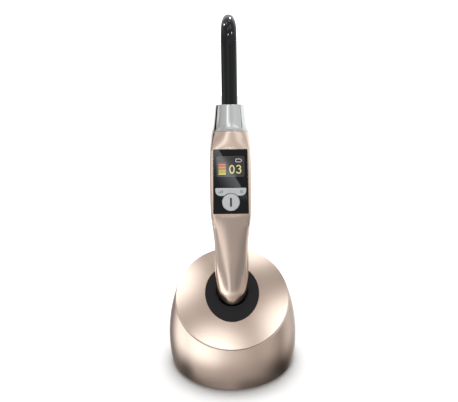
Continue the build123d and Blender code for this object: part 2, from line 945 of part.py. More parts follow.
def make_board_chips():
    back = main_board_back + chip_height
    low = head_floor + main_board_margin + chip_spacing
    chips = []
    for index, length in enumerate(chip_lengths):
        half_width = (chassis_chord - chip_gap) / (index + 1)
        chips.append((socket * block(half_width, main_board_back, back, low, low + length)).solid())
        low += length + chip_spacing
    return Compound(chips)


def make_buzzer():
    can = Rot(90, 0, 0) * Cylinder(buzzer_radius, buzzer_height)
    return socket * Pos(0, main_board_back + buzzer_height / 2, screen_centre) * can


def make_chassis():
    # Half tube behind the board, closed at both ends, that keeps the boards apart.
    low = cell_contact_top
    inner = chassis_radius - chassis_wall
    tube = disc(chassis_radius, low, chassis_top)
    tube &= block(beyond, main_board_back, beyond, low, chassis_top)
    hollow = disc(inner, low + chassis_wall, chassis_top - chassis_wall)
    hollow &= block(beyond, main_board_back - over, beyond, low, chassis_top)
    return socket * (tube - hollow)


PIECES = {
    "base_shell": make_base_shell,
    "top_plate": make_top_plate,
    "socket_collar": make_socket_collar,
    "socket_well": make_socket_well,
    "well_screws": make_well_screws,
    "contact_block": make_contact_block,
    "pin_barrels": make_pin_barrels,
    "contact_pins": make_contact_pins,
    "contact_lead": make_contact_lead,
    "board_header": make_board_header,
    "charge_board": make_charge_board,
    "board_spacers": make_board_spacers,
    "power_inlet": make_power_inlet,
    "inlet_tongue": make_inlet_tongue,
    "ballast": make_ballast,
    "base_cover": make_base_cover,
    "cover_screws": make_cover_screws,
    "foot_pad": make_foot_pad,
    "body_shell": make_body_shell,
    "tail_plug": make_tail_plug,
    "tail_contacts": make_tail_contacts,
    "cell_spring": make_cell_spring,
    "battery_cell": make_battery_cell,
    "cell_contact": make_cell_contact,
    "nose_cone": make_nose_cone,
    "nose_seal": make_nose_seal,
    "guide_bush": make_guide_bush,
    "guide_seals": make_guide_seals,
    "light_guide": make_light_guide,
    "guide_sheath": make_guide_sheath,
    "guide_ferrule": make_guide_ferrule,
    "heat_sink": make_heat_sink,
    "led_board": make_led_board,
    "led_emitter": make_led_emitter,
    "reflector": make_reflector,
    "window_panel": make_window_panel,
    "display_module": make_display_module,
    "power_button": make_power_button,
    "mode_rocker": make_mode_rocker,
    "keypad_membrane": make_keypad_membrane,
    "tact_switches": make_tact_switches,
    "main_board": make_main_board,
    "board_chips": make_board_chips,
    "buzzer": make_buzzer,
    "chassis": make_chassis,
}

os.makedirs("parts", exist_ok=True)
for name, make in PIECES.items():
    export_step(make(), f"parts/{name}.step")
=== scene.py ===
import bpy
import bmesh
import math
from mathutils import Matrix, Vector


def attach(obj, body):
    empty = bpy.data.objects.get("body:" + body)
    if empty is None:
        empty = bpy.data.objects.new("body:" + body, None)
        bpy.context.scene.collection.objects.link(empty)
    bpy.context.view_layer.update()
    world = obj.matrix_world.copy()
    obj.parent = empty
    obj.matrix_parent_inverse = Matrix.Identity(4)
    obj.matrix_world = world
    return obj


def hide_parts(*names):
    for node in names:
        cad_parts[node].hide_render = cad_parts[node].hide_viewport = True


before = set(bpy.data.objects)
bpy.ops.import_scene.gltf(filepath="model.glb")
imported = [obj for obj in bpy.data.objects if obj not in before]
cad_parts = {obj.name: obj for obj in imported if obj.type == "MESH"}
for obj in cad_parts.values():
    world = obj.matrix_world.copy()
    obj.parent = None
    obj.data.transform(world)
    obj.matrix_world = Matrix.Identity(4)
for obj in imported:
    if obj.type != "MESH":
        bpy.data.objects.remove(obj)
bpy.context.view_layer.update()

# Studio: a pale floor under soft light, seen from in front and a little above.
# The light hangs all round as large soft boxes and one tall strip, which the
# satin metal and the chrome nose of the light need to show their shape.

mm = 0.001
picture_width = 458
focal_pixels = 536.1
sensor_width = 36.0
camera_place = Vector((-1.2, -325.9, 213.9)) * mm
camera_pitch = 17.44
camera_roll = 0.8

camera_data = bpy.data.cameras.new("camera")
camera_data.sensor_width = sensor_width
camera_data.lens = sensor_width * focal_pixels / picture_width
camera_data.clip_start = 0.01
camera = bpy.data.objects.new("camera", camera_data)
aim = Matrix.Rotation(math.radians(90 - camera_pitch), 4, "X")
camera.matrix_world = Matrix.Translation(camera_place) @ aim @ Matrix.Rotation(
    math.radians(-camera_roll), 4, "Z")
bpy.context.scene.collection.objects.link(camera)
bpy.context.scene.camera = camera
bpy.context.scene.view_settings.view_transform = "Standard"


class Wire:
    # A number, vector or colour on its way between shader nodes.

    def __init__(self, tree, socket=None):
        self.tree = tree
        self.socket = socket

    def node(self, kind, settings=None, sockets=None, out=0):
        # Adds a node, sets it up, then fills or links its sockets.
        made = self.tree.nodes.new("ShaderNode" + kind)
        for name, value in (settings or {}).items():
            if name == "stops":
                elements = made.color_ramp.elements
                while len(elements) < len(value):
                    elements.new(1.0)
                for element, (place, colour) in zip(elements, value):
                    element.position = place
                    element.color = colour
            else:
                setattr(made, name, value)
        for name, value in (sockets or {}).items():
            if isinstance(value, Wire):
                self.tree.links.new(value.socket, made.inputs[name])
            else:
                made.inputs[name].default_value = value
        return Wire(self.tree, made.outputs[out] if made.outputs else None)

    def maths(self, operation, *values):
        # One step of arithmetic over wires and numbers.
        return self.node("Math", {"operation": operation}, dict(enumerate(values)))

    def __add__(self, other):
        return self.maths("ADD", self, other)

    def __sub__(self, other):
        return self.maths("SUBTRACT", self, other)

    def __rsub__(self, other):
        return self.maths("SUBTRACT", other, self)

    def __mul__(self, other):
        return self.maths("MULTIPLY", self, other)

    def __truediv__(self, other):
        return self.maths("DIVIDE", self, other)

    __radd__ = __add__
    __rmul__ = __mul__

    def ramp(self, low, high):
        # 0 below the low value, 1 above the high one and smooth between.
        return self.node("MapRange", {"interpolation_type": "SMOOTHSTEP"},
                         {"Value": self, "From Min": low, "From Max": high})

    def band(self, low, high, soft):
        # 1 between the two values, fading to 0 over the soft edge on each side.
        return self.ramp(low - soft, low + soft) * (1 - self.ramp(high - soft, high + soft))

    def levels(self, *stops):
        # Brightness round the horizon: this wire is an azimuth in degrees, and each
        # stop is an azimuth and its level, which is below 2.
        places = [((angle + 180) / 360, [level / 2] * 3 + [1]) for angle, level in stops]
        return 2 * self.node("ValToRGB", {"stops": places}, {"Fac": (self + 180) / 360})

    def feed(self, shader, name):
        # Drives a socket of the shader.
        self.tree.links.new(self.socket, shader.inputs[name])


def compass(paint, spot):
    # Azimuth of a point or direction in degrees: 0 in front and 90 on the right.
    across, depth = [paint.node("SeparateXYZ", None, {0: spot}, out=axis) for axis in "XY"]
    return paint.maths("ARCTAN2", across, -1 * depth) * (180 / math.pi)


world = bpy.data.worlds.new("studio")
world.use_nodes = True
bpy.context.scene.world = world
world.node_tree.nodes.clear()
sky = Wire(world.node_tree)
direction = sky.node("TexCoord", out="Generated")
azimuth = compass(sky, direction)
upward = sky.node("SeparateXYZ", None, {0: direction}, out="Z")
elevation = sky.maths("ARCSINE", upward) * (180 / math.pi)

# The soft boxes hang in layers. Each has its own brightness round the horizon, and
# fades into the next one between two elevations in degrees.

table = azimuth.levels(
    (-180, 0.26), (-90, 0.12), (-76, 0.10), (-60, 0.24), (-40, 0.30), (-10, 0.36),
    (4, 0.31), (20, 0.16), (45, 0.11), (90, 0.08), (120, 0.24), (180, 0.26))
low_wall = azimuth.levels(
    (-180, 0.35), (-150, 0.22), (-124, 0.12), (-102, 0.05), (-88, 0.14), (-74, 0.50),
    (-40, 0.58), (-20, 0.52), (8, 0.49), (32, 0.44), (56, 0.32), (74, 0.16),
    (96, 0.04), (116, 0.02), (134, 0.08), (150, 0.30), (180, 0.45))
soft_boxes = azimuth.levels(
    (-180, 0.60), (-160, 0.45), (-146, 0.22), (-136, 0.35), (-124, 0.85), (-112, 1.50),
    (-98, 1.65), (-86, 1.60), (-64, 1.95), (-46, 1.95), (-30, 1.60), (-16, 1.15),
    (-2, 0.88), (20, 0.68), (38, 0.56), (64, 0.62), (78, 0.50), (92, 0.38),
    (102, 0.58), (116, 0.80), (140, 0.60), (160, 0.80), (180, 0.80))
horizon = azimuth.levels(
    (-180, 1.10), (-150, 1.20), (-136, 0.60), (-110, 0.55), (-96, 1.30), (-84, 1.20),
    (-60, 0.90), (-30, 1.00), (-22, 1.10), (-17, 1.20), (-8, 0.74), (0, 0.54),
    (12, 0.50), (26, 0.50), (40, 0.70), (56, 1.05), (90, 1.30), (135, 1.25),
    (160, 1.35), (180, 1.15))
middle_boxes = azimuth.levels(
    (-180, 1.05), (-152, 0.85), (-136, 0.60), (-109, 0.50), (-99, 0.60), (-86, 0.52),
    (-60, 0.68), (-36, 0.72), (-27, 0.84), (-20, 1.50), (-14, 1.45), (-7, 0.95),
    (3, 0.78), (13, 0.74), (40, 0.86), (65, 0.82), (86, 0.80), (106, 1.05),
    (140, 1.10), (180, 1.10))
high_boxes = azimuth.levels(
    (-180, 1.15), (-150, 0.75), (-76, 0.74), (-52, 0.60), (-34, 0.66), (-22, 1.10),
    (-12, 1.50), (0, 1.35), (8, 0.90), (14, 0.80), (28, 1.15), (58, 1.20),
    (80, 0.80), (100, 0.70), (126, 0.85), (155, 1.30), (180, 1.20))
ceiling = azimuth.levels(
    (-180, 0.85), (-120, 0.55), (-60, 0.62), (0, 0.90), (60, 0.75), (120, 0.62), (180, 0.85))

zenith = 0.42
glow = table
for layer, low, high in (
        (low_wall, -50, -42), (soft_boxes, -40, -25), (horizon, -11, -5), (middle_boxes, 7, 13),
        (high_boxes, 25, 32), (ceiling, 34, 44), (zenith, 52, 62)):
    glow = glow + (layer - glow) * elevation.ramp(low, high)

# Two dark flags stand between the boxes: a broad one at the left and a narrow one
# at the right. They draw the dark lines down the chrome nose.

broad_flag = 0.97 * azimuth.band(-133, -113, 2.5) * elevation.band(-4, 22, 2)
narrow_flag = 0.65 * azimuth.band(92, 100, 2) * elevation.band(0, 26, 3)
glow = glow * (1 - broad_flag) * (1 - narrow_flag)

# The tall strip leans and has one hard edge, which shows as a slanted streak in the
# window. It is bright at that edge and fades away from it.

strip_lean = 0.592
strip_azimuth = -1.01
strip_elevation = 8.0
strip_glow = 5.5
strip_side = azimuth + strip_lean * (elevation - strip_elevation) - strip_azimuth
strip = strip_side.ramp(-2.6, 0.6) * strip_side.band(-4, 0, 0.03) * elevation.band(3.2, 9, 0.8)
glow = glow + strip_glow * strip

# Four round boxes hang overhead, each with its direction, its reach in degrees and
# its brightness. They lie as soft light patches on the top plate.

for heading, reach, strength in (((-0.34, 0.25, 1.0), 12.5, 2.4), ((-0.10, -0.25, 1.0), 11.5, 2.4),
                                 ((0.34, -0.06, 1.0), 13, 2.4), ((0.11, 0.46, 1.0), 9.5, 2.0)):
    toward = Vector(heading).normalized()
    cosine = sky.node("VectorMath", {"operation": "DOT_PRODUCT"}, {0: direction, 1: toward}, out="Value")
    glow = glow + strength * cosine.ramp(math.cos(math.radians(reach)), 1.0)

# Dim parts of the studio are a little warm and bright ones a little cool.

warm_shade = (1.0, 0.94, 0.90, 1.0)
cool_light = (0.93, 0.985, 1.0, 1.0)
tint = sky.node("Mix", {"data_type": "RGBA"}, {0: glow.ramp(0.1, 1.5), 6: warm_shade, 7: cool_light},
                out=2)
background = sky.node("Background", None, {"Color": tint, "Strength": glow})
sky.node("OutputWorld", None, {"Surface": background})


def around(count):
    # Angles of a full turn.
    return [math.tau * index / count for index in range(count)]


def stage_thing(name, points, faces):
    # Part of the studio, with its shader and a wire for its paint.
    mesh = bpy.data.meshes.new(name)
    mesh.from_pydata(points, [], faces)
    thing = bpy.data.objects.new(name, mesh)
    bpy.context.scene.collection.objects.link(thing)
    paint = bpy.data.materials.new(name + "_paint")
    paint.use_nodes = True
    mesh.materials.append(paint)
    return thing, paint.node_tree.nodes["Principled BSDF"], Wire(paint.node_tree)


# The floor is pale and glows a little away from the dock but not close to it: painted light,
# which leaves painted shade round the foot on top of the real shadow there.

floor_reach = 1.6
floor_sides = 64
floor_colour = (0.5, 0.5, 0.5, 1.0)
painted_floor_glow = 0.5
painted_shade_inner = 0.045
painted_shade_outer = 0.16
floor, floor_shader, floor_wire = stage_thing(
    "floor", [(floor_reach * math.cos(a), floor_reach * math.sin(a), 0.0) for a in around(floor_sides)],
    [list(range(floor_sides))])
floor_spot = floor_wire.node("TexCoord", out="Object")
floor_distance = floor_wire.node("VectorMath", {"operation": "LENGTH"}, {0: floor_spot}, out="Value")
# Painted light: the floor's glow rises from nothing near the dock to full further out, so the floor round
# the foot carries painted shade.
floor_distance.ramp(painted_shade_inner, painted_shade_outer).feed(floor_shader, "Emission Color")
floor_shader.inputs["Base Color"].default_value = floor_colour
floor_shader.inputs["Roughness"].default_value = 0.9
floor_shader.inputs["Emission Strength"].default_value = painted_floor_glow
floor.visible_glossy = False

# A grey card lies round the dock on the floor and is seen only in reflections. It
# gives the metal its darker and lighter streaks from below.

card_near = 0.19
card_far = 1.2
card_height = 0.5 * mm
card_sides = 96
card, card_shader, card_wire = stage_thing(
    "grey_card", [(reach * math.cos(a), reach * math.sin(a), card_height)
                  for reach in (card_near, card_far) for a in around(card_sides)],
    [(i, (i + 1) % card_sides, card_sides + (i + 1) % card_sides, card_sides + i)
     for i in range(card_sides)])
compass(card_wire, card_wire.node("TexCoord", out="Object")).levels(
    (-180, 0.75), (-120, 0.62), (-66, 0.56), (-30, 0.48), (-23, 0.60), (-18, 1.20),
    (-12, 1.00), (-5, 0.46), (10, 0.46), (22, 0.32), (40, 0.34), (52, 0.44), (72, 0.50),
    (96, 0.62), (120, 0.90), (144, 1.05), (180, 0.80)).feed(card_shader, "Emission Color")
card_shader.inputs["Base Color"].default_value = (0.0, 0.0, 0.0, 1.0)
card_shader.inputs["Specular IOR Level"].default_value = 0.0
card_shader.inputs["Emission Strength"].default_value = 1.0
card.visible_camera = False
card.visible_diffuse = False
card.visible_transmission = False
card.visible_shadow = False

# A white dome closes the studio and is seen by the camera alone.

dome_sides = 32
dome_rings = [[(floor_reach * math.cos(rise) * math.cos(a), floor_reach * math.cos(rise) * math.sin(a),
                floor_reach * math.sin(rise)) for a in around(dome_sides)]
              for rise in (-1.2, -0.8, -0.4, 0.0, 0.4, 0.8, 1.2)]
dome, dome_shader, _ = stage_thing(
    "backdrop", [point for ring in dome_rings for point in ring],
    [(dome_sides * i + j, dome_sides * i + (j + 1) % dome_sides,
      dome_sides * (i + 1) + (j + 1) % dome_sides, dome_sides * (i + 1) + j)
     for i in range(len(dome_rings) - 1) for j in range(dome_sides)])
dome_shader.inputs["Base Color"].default_value = (1.0, 1.0, 1.0, 1.0)
dome_shader.inputs["Emission Color"].default_value = (1.0, 1.0, 1.0, 1.0)
dome_shader.inputs["Emission Strength"].default_value = 1.0
dome.visible_diffuse = False
dome.visible_glossy = False
dome.visible_transmission = False
dome.visible_shadow = False


def hang(lamp, place, toward):
    # Hangs a lamp at a place and lets it shine in a direction.
    bulb = bpy.data.objects.new(lamp.name, lamp)
    bulb.matrix_world = Matrix.Translation(place) @ toward.to_track_quat("-Z", "Y").to_matrix().to_4x4()
    bpy.context.scene.collection.objects.link(bulb)
    return bulb


# One large lamp overhead makes the soft shadow. Four small ones close to the bend
# of the light guide make the white glints on it, and hardly reach anything else.

fill = bpy.data.lights.new("fill_top", "AREA")
fill.shape = "DISK"
fill.size = 0.7
fill.energy = 26
fill_place = Vector((0.0, 0.20, 1.30))
dock_middle = Vector((0, 0, 0.05))
hang(fill, fill_place, dock_middle - fill_place).visible_glossy = False

spark_radius = 3.8 * mm
spark_reach = 70 * mm
spark_power = 0.045
spark_spread = math.radians(16)
for name, spot, turn, rise in (
        ("spark_back", (0.5, 20.0, 222.0), 169, 38), ("spark_left", (-2.7, 18.0, 218.5), -128, 44),
        ("spark_right", (1.8, 16.0, 214.3), 69, 49), ("spark_front", (-0.1, 16.0, 213.1), -8, 56)):
    spark = bpy.data.lights.new(name, "SPOT")
    spark.shadow_soft_size = spark_radius
    spark.energy = spark_power
    spark.spot_size = spark_spread
    spark.spot_blend = 0.3
    turn, rise = math.radians(turn), math.radians(rise)
    away = Vector((math.sin(turn) * math.cos(rise), -math.cos(turn) * math.cos(rise), math.sin(rise)))
    hang(spark, Vector(spot) * mm + away * spark_reach, -away).visible_camera = False


# Foot: a grey-black rubber pad on the underside, a moulded cover plate that
# closes the dock and the four steel screws that hold it. They are cut and
# turned CAD pieces, seen only from below, so they only get their finishes.


def finish(name, colour, roughness, metallic=0.0, grain=0.0, grain_size=0.3, fleck=0.0, **constant):
    # Procedural finish: colour and roughness drift a little over the piece, and the
    # surface has a fine grain of this height and size, in mm. Flecks add to the drift.
    material = bpy.data.materials.new(name)
    material.use_nodes = True
    shader = material.node_tree.nodes["Principled BSDF"]
    paint = Wire(material.node_tree)
    spot = paint.node("TexCoord", out="Object")
    drift = paint.node("TexNoise", None, {"Vector": spot, "Scale": 60.0, "Detail": 3.0})
    fine = paint.node("TexNoise", None, {"Vector": spot, "Scale": 1 / (grain_size * mm), "Detail": 2.0})
    spread = 0.06 + fleck
    dark = [part * (1 - spread) for part in colour] + [1.0]
    light = [min(1.0, part * (1 + spread) + 0.002) for part in colour] + [1.0]
    blend = 0.6 * drift + 0.4 * fine
    shade = paint.node("Mix", {"data_type": "RGBA"}, {0: blend, 6: dark, 7: light}, out=2)
    shade.feed(shader, "Base Color")
    gloss = roughness * 0.88 + roughness * 0.24 * (0.5 * drift + 0.5 * fine)
    gloss.feed(shader, "Roughness")
    shader.inputs["Metallic"].default_value = metallic
    if grain:
        bump = paint.node("Bump", None, {"Strength": 0.6, "Distance": grain * mm, "Height": fine})
        bump.feed(shader, "Normal")
    for socket, value in constant.items():
        shader.inputs[socket.replace("_", " ")].default_value = value
    return material


def dress(material, *nodes):
    # Gives CAD pieces this finish.
    for node in nodes:
        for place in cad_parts[node].material_slots:
            place.material = material


black_moulding = finish("black_moulding", (0.02, 0.02, 0.022), 0.45, grain=0.01, grain_size=0.25)
steel = finish("bright_steel", (0.62, 0.62, 0.63), 0.28, metallic=1.0, grain=0.003, grain_size=0.15)
dress(finish("foot_rubber", (0.03, 0.03, 0.03), 0.8, grain=0.03, grain_size=0.5), "foot_pad")
dress(black_moulding, "base_cover")
dress(steel, "cover_screws")

# Inside the dock: a cast iron weight on the cover, the charging board on four
# posts above it with its header and flat lead, and the stamped steel inlet at
# the back with its plastic tongue. All are CAD pieces with their own finishes.

gold = finish("gold_plate", (0.83, 0.62, 0.28), 0.25, metallic=1.0, grain=0.002, grain_size=0.1)
board_green = finish("solder_mask", (0.01, 0.12, 0.05), 0.3, grain=0.01, grain_size=0.3)
ivory = finish("ivory_plastic", (0.75, 0.7, 0.58), 0.45, grain=0.005, grain_size=0.2)
dress(finish("cast_iron", (0.12, 0.12, 0.125), 0.7, metallic=0.9, grain=0.05, grain_size=0.8), "ballast")
dress(board_green, "charge_board")
dress(ivory, "board_header", "contact_lead")
dress(black_moulding, "inlet_tongue")
dress(steel, "board_spacers", "power_inlet")

# Socket: a moulded black well with three screws that hangs under the top plate,
# and below it the block with the three sprung charging pins in their barrels,
# all gold-plated, which touch the handpiece's tail.

dress(black_moulding, "socket_well", "contact_block")
dress(steel, "well_screws")
dress(gold, "pin_barrels", "contact_pins")

# Dock side: one satin-plated rose-gold shell, barrel-shaped and cut off at a slant.
# Its edges are rounded, the wall is at least 2.4 mm thick, and a round-ended slot at
# the back leads to the inlet. It is a ring of wall profiles round the axis.

dock_radius = 43.0
belly_height = 17.6
flank_bow = 97.0
skirt_bow = 100.0
dock_wall = 2.4
foot_height = 0.9
drum_height = 30.0
top_height = 51.9
top_tilt = math.radians(28.0)
seam_drop = 0.6
side_lip = 0.4
crown_height = 3.2
rim_height = 0.9
dock_turns = 240
solve_steps = 30
slope = math.tan(top_tilt)


def side_radius(height, inset=0.0):
    # Radius of the dock's side, or of a surface inset from it, at a height.
    bow = flank_bow if height > belly_height else skirt_bow
    return dock_radius - bow + math.sqrt((bow - inset) ** 2 - (height - belly_height) ** 2)


def rim_reach(side):
    # Where the slanted rim meets the side, at the front (-1) or the back (+1).
    y = side * dock_radius
    for _ in range(solve_steps):
        y = side * side_radius(top_height + y * slope)
    return y


def share(start, end, part):
    # Value that lies this part of the way from start to end.
    return start + (end - start) * part


def eased(corners, steps=4):
    # Closed line through these corners, each a point and the radius that rounds it. A
    # point just before and after each arc keeps the shading flat beside it.
    lead = 0.35
    line = []
    for index, (point, radius) in enumerate(corners):
        if not radius:
            line.append(point)
            continue
        before = (corners[index - 1][0] - point).normalized()
        after = (corners[(index + 1) % len(corners)][0] - point).normalized()
        half = before.angle(after) / 2
        tangent = radius / math.tan(half)
        centre = point + (before + after).normalized() * radius / math.sin(half)
        start = point + before * tangent - centre
        end = point + after * tangent - centre
        sweep = start.angle(end)
        line.append(point + before * (tangent + lead * radius))
        for step in range(steps + 1):
            part = step / steps
            blend = start * math.sin((1 - part) * sweep) + end * math.sin(part * sweep)
            line.append(centre + blend / math.sin(sweep))
        line.append(point + after * (tangent + lead * radius))
    return line


def shaded(mesh):
    # Smooth shading that stops at real edges.
    mesh.shade_smooth()
    mesh.set_sharp_from_angle(angle=math.radians(38))
    return mesh


def welded(mesh, reach):
    # Joins points that meet and turns all faces outwards.
    work = bmesh.new()
    work.from_mesh(mesh)
    bmesh.ops.remove_doubles(work, verts=work.verts, dist=reach)
    bmesh.ops.recalc_face_normals(work, faces=work.faces)
    work.to_mesh(mesh)
    work.free()


def metric(place):
    # The same placement with its shift in metres.
    return Matrix.Translation(place.to_translation() * mm) @ place.to_3x3().to_4x4()


def skin(name, rows, ring=True, place=None, caps=False):
    # Mesh over rows of points in mm; each row is closed, and with ring the last
    # row joins the first. Caps close the two ends of an open one.
    count = len(rows[0])
    points = [point * mm for row in rows for point in row]
    last = len(rows) if ring else len(rows) - 1
    faces = []
    for i in range(last):
        here = i * count
        there = (i + 1) % len(rows) * count
        for j in range(count):
            beside = (j + 1) % count
            faces.append((here + j, here + beside, there + beside, there + j))
    if caps:
        faces.append(tuple(range(count)))
        faces.append(tuple(range(len(points) - count, len(points))))
    mesh = bpy.data.meshes.new(name)
    mesh.from_pydata(points, [], faces)
    if place:
        mesh.transform(metric(place))
    welded(mesh, 0.001 * mm)
    return shaded(mesh)


def carve(mesh, *cutters):
    # Cuts closed meshes out of a mesh.
    made = [bpy.data.objects.new("cut", shape) for shape in (mesh, *cutters)]
    for thing in made:
        bpy.context.scene.collection.objects.link(thing)
    for tool in made[1:]:
        change = made[0].modifiers.new("cut", "BOOLEAN")
        change.solver = "EXACT"
        change.object = tool
    bpy.context.view_layer.update()
    result = bpy.data.meshes.new_from_object(
        made[0].evaluated_get(bpy.context.evaluated_depsgraph_get()))
    for thing in made:
        bpy.data.objects.remove(thing)
    return shaded(result)


def piece(name, mesh, material, body, slot, *nodes):
    # Puts a finished mesh in the scene: it rides on a body and stands for CAD nodes.
    mesh.materials.clear()
    mesh.materials.append(material)
    made = bpy.data.objects.new(name, mesh)
    bpy.context.scene.collection.objects.link(made)
    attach(made, body)
    if nodes:
        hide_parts(*nodes)


rim_front = rim_reach(-1)
rim_back = rim_reach(1)
rim_middle = (rim_front + rim_back) / 2
seam_normal = Vector((0, -math.sin(top_tilt), math.cos(top_tilt)))
seam_origin = Vector((0, rim_middle, top_height + rim_middle * slope)) - seam_normal * seam_drop
seam = Matrix.Translation(seam_origin) @ Matrix.Rotation(top_tilt, 4, "X")
cavity_radius = side_radius(foot_height, dock_wall)
cavity_top = top_height + rim_back * slope
cavity_narrow = side_radius(cavity_top, dock_wall)


def inside_radius(height):
    # The inside of the wall: a drum below and a cone above.
    part = max(0.0, (height - drum_height) / (cavity_top - drum_height))
    return share(cavity_radius, cavity_narrow, part)


def seam_height(angle, radius):
    # Height at which a surface of revolution meets the slanted seam at an angle.
    height = drum_height
    for _ in range(solve_steps):
        height = seam_origin.z + (radius(height) * math.sin(angle) - seam_origin.y) * slope
    return height


foot_ease = 0.45
inner_foot_ease = 0.2
lip_ease = 0.4
inner_lip_ease = 0.3
knee_drop = 2.0
side_parts = [0.05 + 0.1 * step for step in range(9)] + [0.94]
side_rows = []
for angle in around(dock_turns):
    top = seam_height(angle, side_radius) + side_lip
    inner_top = seam_height(angle, inside_radius) + side_lip
    knee = min(drum_height, inner_top - knee_drop)
    wall = [(side_radius(foot_height), foot_height, foot_ease)]
    for part in side_parts:
        height = share(foot_height, top, part)
        wall.append((side_radius(height), height, 0))
    wall += [(side_radius(top), top, lip_ease), (inside_radius(inner_top), inner_top, inner_lip_ease),
             (inside_radius(knee), knee, 0), (cavity_radius, foot_height, inner_foot_ease)]
    out = Vector((math.cos(angle), math.sin(angle), 0))
    side_rows.append(eased([(out * radius + Vector((0, 0, height)), ease)
                            for radius, height, ease in wall]))
side_mesh = skin("dock_side", side_rows)

inlet_height = 15.81
slot_half_width = 4.77
slot_half_height = 1.88
slot_turns = 48
slot_middle = slot_half_width - slot_half_height
slot_flares = ((36.0, 0.0), (42.35, 0.0), (43.6, 0.9))
slot_rows = []
for y, widening in slot_flares:
    radius = slot_half_height + widening
    slot_rows.append([
        Vector((math.copysign(slot_middle, math.cos(angle)) + radius * math.cos(angle), y,
                inlet_height + radius * math.sin(angle))) for angle in around(slot_turns)])
side_mesh = carve(side_mesh, skin("slot", slot_rows, ring=False, caps=True))
gold_colour = (0.745, 0.592, 0.502)
rose_gold = finish("rose_gold_satin", gold_colour, 0.20, metallic=1.0, grain=0.001, grain_size=0.10,
                   fleck=0.02)
piece("dock_side", side_mesh, rose_gold, "dock", "rose_gold", "base_shell")

# Top plate: a separate crowned disc in the same rose gold, set on the side with a
# fine shadow seam. Its rim is rolled over, and the hole for the collar has a small
# bright bevel. Its rows run from the hole's wall over the crown to the rim.

collar_radius = 17.5
collar_gap = 0.15
seam_inset = 0.15
seam_gap = 0.28
plate_depth = 2.2
hole_ease = 0.45
rim_ease = 0.2
rim_width = 3.0
lean = math.radians(10.0)
socket_y = -6.0
crown_over_rim = (crown_height - seam_drop) / math.cos(top_tilt)
socket_place = Vector((0, socket_y, top_height + socket_y * slope + crown_over_rim))
socket = Matrix.Translation(socket_place) @ Matrix.Rotation(-lean, 4, "X")
to_seam = seam.inverted()
rim_half_length = (rim_back - rim_front) / 2 / math.cos(top_tilt)
crown_rise = crown_height - rim_height
crown_radius = (rim_half_length ** 2 + crown_rise ** 2) / (2 * crown_rise)


def crown(x, y, sunk=0.0):
    # Height of the crowned top over the seam's plane.
    return math.sqrt((crown_radius - sunk) ** 2 - x * x - y * y) - crown_radius + crown_height


def bore_point(radius, angle, sunk=0.0, level=None):
    # Point on a cylinder round the socket's axis, on the crown or at a level below it.
    def at(rise):
        return to_seam @ socket @ Vector((radius * math.cos(angle), radius * math.sin(angle), rise))
    rise = 0.0
    for _ in range(solve_steps):
        point = at(rise)
        target = crown(point.x, point.y, sunk) if level is None else level
        rise += (target - point.z) / math.cos(top_tilt + lean)
    return at(rise)


def rim_point(angle, level):
    # Point of the plate's edge in a direction from its middle, at a level over the seam.
    low, high = 0.7 * dock_radius, 1.12 * dock_radius
    for _ in range(solve_steps):
        reach = (low + high) / 2
        spot = seam @ Vector((reach * math.cos(angle), reach * math.sin(angle), level))
        if math.hypot(spot.x, spot.y) < side_radius(spot.z, seam_inset):
            low = reach
        else:
            high = reach
    return Vector((low * math.cos(angle), low * math.sin(angle), level))


plate_parts = [0.08 * step for step in range(1, 11)] + [0.87, 0.93]
plate_rows = []
for angle in around(dock_turns):
    inner = bore_point(collar_radius + collar_gap, angle)
    edge = rim_point(angle, rim_height)
    edge = rim_point(angle, crown(edge.x, edge.y))
    foot = rim_point(angle, side_lip * math.cos(top_tilt) + seam_gap)
    corners = [(bore_point(collar_radius + collar_gap, angle, level=-plate_depth), 0), (inner, hole_ease)]
    for part in plate_parts:
        spot = inner.lerp(edge, part)
        spot.z = crown(spot.x, spot.y)
        corners.append((spot, 0))
    under = foot * (1 - rim_width / foot.length)
    corners += [(edge, rim_ease), (foot, 0.05), (under, 0), (under - Vector((0, 0, plate_depth)), 0)]
    plate_rows.append(eased(corners))
piece("top_plate_skin", skin("top_plate_skin", plate_rows, place=seam), rose_gold, "dock", "rose_gold",
      "top_plate")

# Collar: a soft black rubber ring round the socket's mouth. It lies a quarter of a
# millimetre below the plate, and its thin lip closes in on the handpiece: as the
# plate slants and the tail tapers, the lip stands out most at the front.

socket_bore = 10.9
collar_sunk = 0.25
lip_middle = 10.4
lip_reach = 1.1
lip_bow = 0.65
lip_depth = 1.5
lip_slope = 0.3
collar_ease = 0.3
mouth_ease = 0.6
collar_parts = (0.15, 0.35, 0.55, 0.7)
collar_rows = []
for angle in around(dock_turns):
    outer = bore_point(collar_radius, angle, collar_sunk)
    tilt = math.sin(angle)
    lip = lip_middle + lip_reach * tilt - lip_bow * tilt * tilt
    inner = bore_point(lip, angle, collar_sunk)
    corners = [(bore_point(collar_radius, angle, level=-plate_depth), 0), (outer, collar_ease)]
    corners += [(outer.lerp(inner, part), 0) for part in collar_parts]
    corners += [(inner, mouth_ease), (bore_point(lip, angle, collar_sunk + lip_depth), 0.05),
                (bore_point(socket_bore, angle, collar_sunk + lip_depth + lip_slope), 0),
                (bore_point(socket_bore, angle, level=-plate_depth), 0)]
    collar_rows.append(eased(corners))
soft_black = finish("soft_black_rubber", (0.007, 0.007, 0.008), 0.55, grain=0.012, grain_size=0.2,
                    Specular_IOR_Level=0.16)
piece("collar_ring", skin("collar_ring", collar_rows, place=seam), soft_black, "dock", "black_silicone",
      "socket_collar")

# Handpiece body: one drawn, satin-plated rose-gold shell. From its round tail a slim
# shaft rises and widens to a head with a flat front and two soft corners, which ends
# round under the nose. The window's pocket is cut through its front.

body_low = -10.0
body_top = 104.2
flat_front = 12.7

# A station is: height, half width, front, back, half of the flat, its crown, corner.

